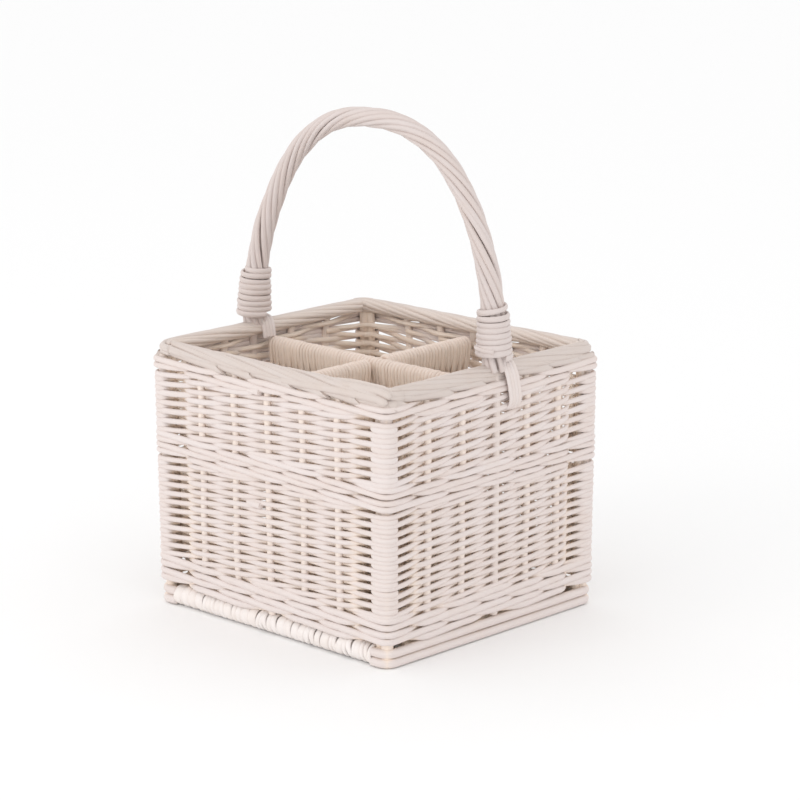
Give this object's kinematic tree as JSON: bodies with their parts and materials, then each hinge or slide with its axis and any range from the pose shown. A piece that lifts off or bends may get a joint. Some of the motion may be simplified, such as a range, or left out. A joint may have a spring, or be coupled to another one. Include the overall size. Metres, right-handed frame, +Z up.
{
  "type": "wine bottle basket",
  "caption": "Whitewashed willow basket with four compartments for wine bottles, a woven wall on stakes, a twisted border and an arched handle.",
  "frame": {"origin": "middle of the base, on the floor that the basket stands on", "axes": "+Z up, +X along the long side and along the handle's span, +Y towards the back"},
  "size_m": [0.2628, 0.2346, 0.3828],
  "materials": {
    "willow_base": "matt, whitewashed",
    "willow_wall": "matt, whitewashed",
    "willow_border": "satin, whitewashed",
    "willow_inside": "matt, thinly whitewashed",
    "willow_handle": "satin, whitewashed"
  },
  "bodies": {
    "root": {"base_mat": "willow_base", "base_edge_stick_front": "willow_base", "base_edge_stick_back": "willow_base", "base_stick_1": "willow_base", "base_stick_2": "willow_base", "base_stick_3": "willow_base", "base_rim_lower_left": "willow_base", "base_rim_upper_left": "willow_base", "base_rim_lower_right": "willow_base", "base_rim_upper_right": "willow_base", "corner_post_left_front": "willow_wall", "corner_post_front_right": "willow_wall", "corner_post_right_back": "willow_wall", "corner_post_back_left": "willow_wall", "stake_front_1": "willow_wall", "stake_front_2": "willow_wall", "stake_front_3": "willow_wall", "stake_front_4": "willow_wall", "stake_front_5": "willow_wall", "stake_back_1": "willow_wall", "stake_back_2": "willow_wall", "stake_back_3": "willow_wall", "stake_back_4": "willow_wall", "stake_back_5": "willow_wall", "stake_left_1": "willow_wall", "stake_left_2": "willow_wall", "stake_left_3": "willow_wall", "stake_left_4": "willow_wall", "stake_right_1": "willow_wall", "stake_right_2": "willow_wall", "stake_right_3": "willow_wall", "stake_right_4": "willow_wall", "bottom_wale": "willow_wall", "lower_randing": "willow_wall", "middle_wale": "willow_wall", "upper_randing": "willow_wall", "top_wale": "willow_wall", "border_rod_1": "willow_border", "border_rod_2": "willow_border", "border_rod_3": "willow_border", "long_divider": "willow_inside", "back_divider": "willow_inside", "front_divider": "willow_inside", "long_divider_stick": "willow_inside", "back_divider_stick": "willow_inside", "front_divider_stick": "willow_inside", "handle_bow": "willow_handle", "handle_rod_1": "willow_handle", "handle_rod_2": "willow_handle", "handle_rod_3": "willow_handle", "handle_rod_4": "willow_handle", "handle_rod_5": "willow_handle", "handle_rod_6": "willow_handle", "handle_rod_7": "willow_handle", "handle_rod_8": "willow_handle", "handle_rod_9": "willow_handle", "handle_binding_left": "willow_handle", "handle_binding_right": "willow_handle", "handle_tie_left": "willow_handle", "handle_tie_right": "willow_handle"}
  },
  "joints": []
}
